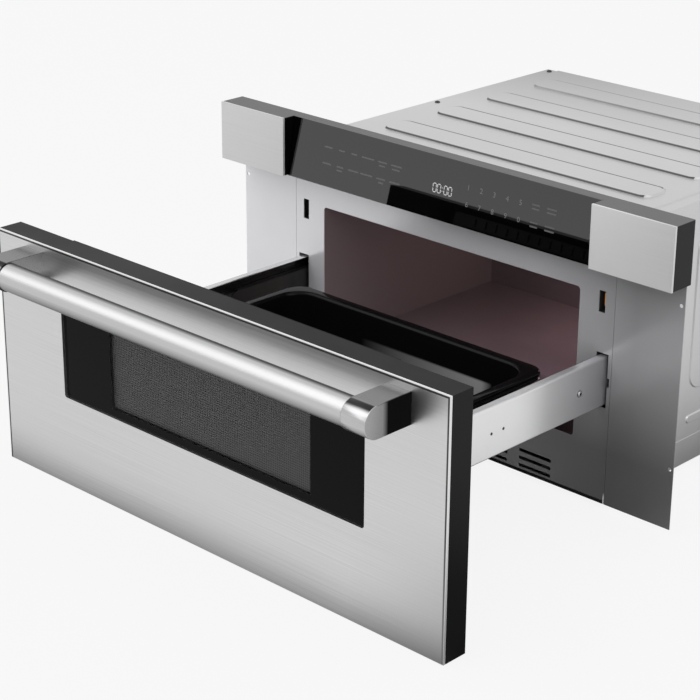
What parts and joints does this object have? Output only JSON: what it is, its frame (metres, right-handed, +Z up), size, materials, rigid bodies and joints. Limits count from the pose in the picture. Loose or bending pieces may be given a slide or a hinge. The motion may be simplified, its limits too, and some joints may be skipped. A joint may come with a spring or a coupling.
{
  "type": "microwave drawer",
  "caption": "Built-in microwave drawer, pulled open: steel door with bar handle and dark window, glossy tub on telescopic slides, slanted glass control bar and ribbed casing.",
  "frame": {"origin": "centre of the four flange screws, on the cabinet wall that the flanges are screwed to", "axes": "+X to the right seen from the front, +Y into the cabinet, +Z up; the rest pose is the open drawer"},
  "size_m": [0.7596, 1.0473, 0.409],
  "materials": {
    "galvanised_sheet": "galvanised, satin",
    "front_sheet": "satin zinc",
    "cavity_enamel": "glossy dark coating",
    "waveguide_metal": "bare",
    "magnetron_metal": "bare",
    "transformer_core": "varnished",
    "capacitor_can": "bare",
    "fan_plastic": "moulded",
    "motor_metal": "satin",
    "mica": "mica sheet",
    "lamp_ceramic": "glazed",
    "latch_plastic": "moulded",
    "switch_plastic": "moulded",
    "copper_lever": "spring bronze",
    "circuit_board": "laminate",
    "slide_steel": "zinc plated",
    "black_slide": "black zinc",
    "cage_brass": "stamped",
    "dark_screws": "black zinc",
    "zinc_screws": "zinc plated",
    "bar_black": "satin black",
    "brushed_steel": "brushed along the width",
    "control_glass": "polished black glass, opaque",
    "display_face": "display",
    "door_black": "satin black",
    "window_glass": "smoked",
    "screen_metal": "perforated, black",
    "inner_panel_metal": "black enamel",
    "inner_glass": "clear dark",
    "choke_metal": "moulded",
    "handle_steel": "brushed along the bar",
    "post_steel": "satin",
    "tub_enamel": "glossy black",
    "ceramic": "glass ceramic",
    "rail_steel": "satin zinc"
  },
  "bodies": {
    "cabinet": {"base_pan": "galvanised_sheet", "back_panel": "galvanised_sheet", "left_side_panel": "galvanised_sheet", "right_side_panel": "galvanised_sheet", "top_cover": "galvanised_sheet", "front_frame": "front_sheet", "left_flange": "front_sheet", "right_flange": "front_sheet", "cavity_liner": "cavity_enamel", "waveguide": "waveguide_metal", "magnetron": "magnetron_metal", "transformer": "transformer_core", "capacitor": "capacitor_can", "fan_housing": "fan_plastic", "fan_motor": "motor_metal", "stirrer_motor": "motor_metal", "stirrer_cover": "mica", "oven_lamp": "lamp_ceramic", "latch_housings": "latch_plastic", "interlock_switches": "switch_plastic", "power_board": "circuit_board", "cord_bushing": "switch_plastic", "left_slide_outer": "slide_steel", "right_slide_outer": "slide_steel", "slide_brackets": "galvanised_sheet", "cabinet_screws": "dark_screws", "bar_housing": "bar_black", "left_bar_plate": "brushed_steel", "right_bar_plate": "brushed_steel", "control_glass": "control_glass", "display_module": "display_face", "touch_board": "circuit_board"},
    "drawer": {"door_skin": "brushed_steel", "door_core": "door_black", "window_glass": "window_glass", "window_screen": "screen_metal", "inner_panel": "inner_panel_metal", "inner_glass": "inner_glass", "choke_frame": "choke_metal", "handle_bar": "handle_steel", "handle_posts": "post_steel", "door_screws": "zinc_screws", "drawer_tub": "tub_enamel", "floor_plate": "ceramic", "left_rail": "rail_steel", "right_rail": "rail_steel", "left_slide_inner": "slide_steel", "right_slide_inner": "slide_steel", "rail_screws": "zinc_screws", "latch_pins": "zinc_screws"},
    "fan_rotor": {"fan_blade": "fan_plastic"},
    "stirrer_rotor": {"stirrer_blade": "waveguide_metal"},
    "left_lever": {"left_switch_lever": "copper_lever"},
    "right_lever": {"right_switch_lever": "copper_lever"},
    "left_latch": {"left_latch_hook": "latch_plastic"},
    "right_latch": {"right_latch_hook": "latch_plastic"},
    "left_middle_slide": {"left_slide_middle": "black_slide"},
    "right_middle_slide": {"right_slide_middle": "black_slide"},
    "outer_cages": {"outer_ball_cages": "cage_brass"},
    "inner_cages": {"inner_ball_cages": "cage_brass"}
  },
  "joints": [
    {"name": "drawer_slide", "type": "slide", "parent": "cabinet", "child": "drawer", "axis": [0, 1, 0], "range_m": [0, 0.3822]},
    {"name": "left_middle_slide_travel", "type": "slide", "parent": "cabinet", "child": "left_middle_slide", "axis": [0, 1, 0], "range_m": [0, 0.1911]},
    {"name": "right_middle_slide_travel", "type": "slide", "parent": "cabinet", "child": "right_middle_slide", "axis": [0, 1, 0], "range_m": [0, 0.1911]},
    {"name": "outer_cage_travel", "type": "slide", "parent": "cabinet", "child": "outer_cages", "axis": [0, 1, 0], "range_m": [0, 0.09555]},
    {"name": "inner_cage_travel", "type": "slide", "parent": "cabinet", "child": "inner_cages", "axis": [0, 1, 0], "range_m": [0, 0.28665]},
    {"name": "left_latch_pivot", "type": "hinge", "parent": "drawer", "child": "left_latch", "pos_m": [-0.2525, -0.4042, 0.081], "axis": [1, 0, 0], "range_deg": [0, 10], "stiffness_Nm_per_rad": 0.05, "springref_deg": -5.73},
    {"name": "right_latch_pivot", "type": "hinge", "parent": "drawer", "child": "right_latch", "pos_m": [0.2525, -0.4042, 0.081], "axis": [1, 0, 0], "range_deg": [0, 10], "stiffness_Nm_per_rad": 0.05, "springref_deg": -5.73},
    {"name": "left_lever_pivot", "type": "hinge", "parent": "cabinet", "child": "left_lever", "pos_m": [-0.257, 0.034, 0.081], "axis": [0, 0, -1], "range_deg": [0, 6], "stiffness_Nm_per_rad": 0.02, "springref_deg": -5.73},
    {"name": "right_lever_pivot", "type": "hinge", "parent": "cabinet", "child": "right_lever", "pos_m": [0.257, 0.034, 0.081], "axis": [0, 0, 1], "range_deg": [0, 6], "stiffness_Nm_per_rad": 0.02, "springref_deg": -5.73},
    {"name": "fan_spin", "type": "hinge", "parent": "cabinet", "child": "fan_rotor", "pos_m": [-0.15, 0.5135, 0.06], "axis": [0, 1, 0], "continuous": true},
    {"name": "stirrer_spin", "type": "hinge", "parent": "cabinet", "child": "stirrer_rotor", "pos_m": [0, 0.15, 0.11], "axis": [0, 0, 1], "continuous": true}
  ],
  "couplings": [
    {"joint": "left_middle_slide_travel", "follows": "drawer_slide", "ratio": 0.5},
    {"joint": "right_middle_slide_travel", "follows": "drawer_slide", "ratio": 0.5},
    {"joint": "outer_cage_travel", "follows": "drawer_slide", "ratio": 0.25},
    {"joint": "inner_cage_travel", "follows": "drawer_slide", "ratio": 0.75}
  ]
}
